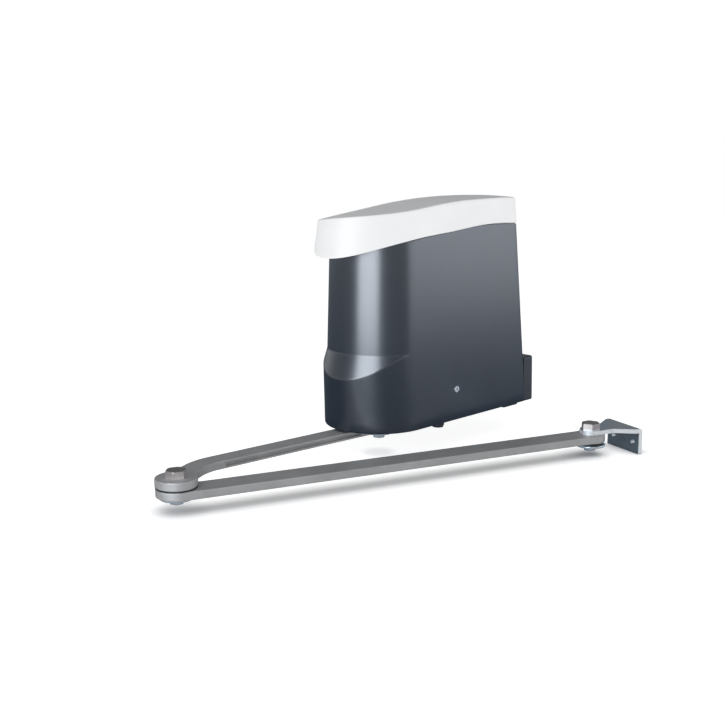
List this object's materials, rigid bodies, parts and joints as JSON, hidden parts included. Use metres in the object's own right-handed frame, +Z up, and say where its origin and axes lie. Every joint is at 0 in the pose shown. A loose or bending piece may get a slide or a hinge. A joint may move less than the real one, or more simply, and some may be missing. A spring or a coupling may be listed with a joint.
{
  "type": "articulated arm gate opener",
  "caption": "Upright gate motor housing on a wall foot, driving a two-link horizontal arm whose end bracket bolts to a swing gate leaf.",
  "frame": {"origin": "centre of the wall plate's four-hole pattern, on the wall face", "axes": "+Y into the wall, +Z up, +X towards the gate bracket's side; the nose points along -Y"},
  "size_m": [0.2846, 0.5414, 0.2911],
  "materials": {
    "slate_plastic": "fine moulded texture",
    "white_plastic": "satin",
    "grey_powder": "matte powder coat",
    "dark_casting": "painted die casting",
    "raw_casting": "as cast",
    "zinc_plate": "bright zinc plate",
    "stainless": "turned stainless",
    "bearing_steel": "ground steel",
    "bronze": "sintered bronze",
    "brass": "machined",
    "black_rubber": "moulded",
    "black_nylon": "moulded",
    "tray_plastic": "moulded",
    "board_green": "glass-fibre board",
    "block_green": "moulded"
  },
  "bodies": {
    "housing": {"wall_plate": "dark_casting", "wall_plate_studs": "zinc_plate", "foot_washers": "zinc_plate", "foot_nuts": "zinc_plate", "base_casting": "dark_casting", "gearbox_gasket": "black_rubber", "gearbox_lid": "raw_casting", "lid_screws": "zinc_plate", "lower_bearing": "bearing_steel", "upper_bearing": "bearing_steel", "shaft_seal": "black_rubber", "cluster_axle": "bearing_steel", "gearhead": "raw_casting", "gearhead_screws": "zinc_plate", "motor_can": "zinc_plate", "motor_end_cap": "dark_casting", "motor_terminals": "brass", "release_barrel": "dark_casting", "terminal_tray": "tray_plastic", "terminal_board": "board_green", "board_screws": "zinc_plate", "terminal_blocks": "block_green", "cable_gland": "black_nylon", "gland_nut": "black_nylon", "body_cover": "slate_plastic", "cover_screws": "zinc_plate", "top_cap": "white_plastic"},
    "cluster": {"cluster_gear": "bearing_steel"},
    "pinion": {"drive_pinion": "bearing_steel"},
    "release": {"release_spindle": "zinc_plate"},
    "clutch": {"clutch_plunger": "brass"},
    "inner": {"output_shaft": "bearing_steel", "output_gear": "bearing_steel", "output_key": "bearing_steel", "stop_dog": "bearing_steel", "inner_arm": "grey_powder", "hub_washer": "zinc_plate", "hub_screw": "zinc_plate", "elbow_pin": "stainless", "elbow_washer": "zinc_plate", "elbow_screw": "zinc_plate"},
    "outer": {"outer_arm": "grey_powder", "elbow_bush": "bronze", "bracket_bush": "bronze", "slip_ring": "black_nylon"},
    "bracket": {"gate_bracket": "zinc_plate", "bracket_pin": "stainless", "bracket_spacer": "black_nylon", "bracket_washer": "zinc_plate", "bracket_screw": "zinc_plate"}
  },
  "joints": [
    {"name": "output_hinge", "type": "hinge", "parent": "housing", "child": "inner", "pos_m": [0, -0.211, -0.039], "axis": [0, 0, 1], "range_deg": [-100, 100]},
    {"name": "elbow_hinge", "type": "hinge", "parent": "inner", "child": "outer", "pos_m": [0.00616, -0.50494, -0.0494], "axis": [0, 0, -1], "range_deg": [-12, 150]},
    {"name": "bracket_hinge", "type": "hinge", "parent": "outer", "child": "bracket", "pos_m": [0.18007, -0.0447, -0.0403], "axis": [0, 0, 1], "range_deg": [-120, 120]},
    {"name": "cluster_spin", "type": "hinge", "parent": "housing", "child": "cluster", "pos_m": [0, -0.1585, 0], "axis": [0, 0, 1], "range_deg": [-404, 404]},
    {"name": "pinion_spin", "type": "hinge", "parent": "housing", "child": "pinion", "pos_m": [0, -0.12225, 0], "axis": [0, 0, 1], "range_deg": [-1262, 1262]},
    {"name": "release_turn", "type": "hinge", "parent": "housing", "child": "release", "pos_m": [0.04453, -0.158, 0], "axis": [0, 0, 1], "range_deg": [0, 90]},
    {"name": "clutch_push", "type": "slide", "parent": "housing", "child": "clutch", "axis": [-0.7798, 0.6261, 0], "range_m": [0, 0.0041]}
  ],
  "couplings": [
    {"joint": "cluster_spin", "follows": "output_hinge", "ratio": -4},
    {"joint": "pinion_spin", "follows": "output_hinge", "ratio": 12.571},
    {"joint": "clutch_push", "follows": "release_turn", "m_per_rad": 0.0025465}
  ]
}
